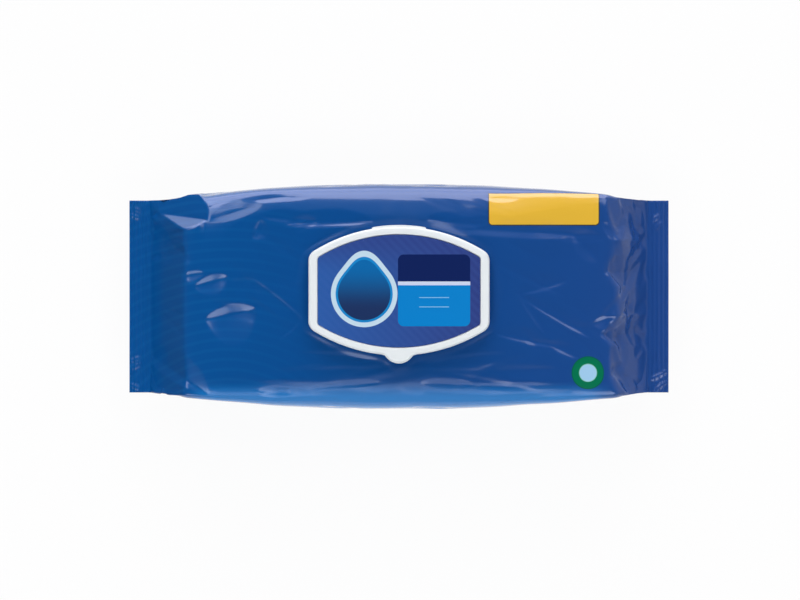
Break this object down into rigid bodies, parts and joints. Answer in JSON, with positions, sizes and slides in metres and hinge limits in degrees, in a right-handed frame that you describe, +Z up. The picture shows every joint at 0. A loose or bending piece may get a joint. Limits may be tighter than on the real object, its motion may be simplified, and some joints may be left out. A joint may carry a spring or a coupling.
{
  "type": "wet wipes pack",
  "caption": "Flow-wrapped film pack of folded wet wipes with gusseted crimped ends and a hinged white flip lid over its dispensing slot.",
  "frame": {"origin": "middle of the pack's length and width, on the surface that it lies on", "axes": "+X along the pack's length, +Y towards the lid's hinge, +Z up through the lid"},
  "size_m": [0.24, 0.101, 0.0546],
  "materials": {
    "film": "gloss",
    "wipes": "matte",
    "lid_plastic": "satin",
    "label_print": "satin"
  },
  "bodies": {
    "pack": {"wrapper": "film", "wipes_stack": "wipes", "top_wipe": "wipes", "lid_frame": "lid_plastic"},
    "lid": {"lid": "lid_plastic", "lid_label": "label_print"}
  },
  "joints": [
    {"name": "lid_hinge", "type": "hinge", "parent": "pack", "child": "lid", "pos_m": [0, 0.03145, 0.05115], "axis": [-1, 0, 0], "range_deg": [0, 160]}
  ]
}
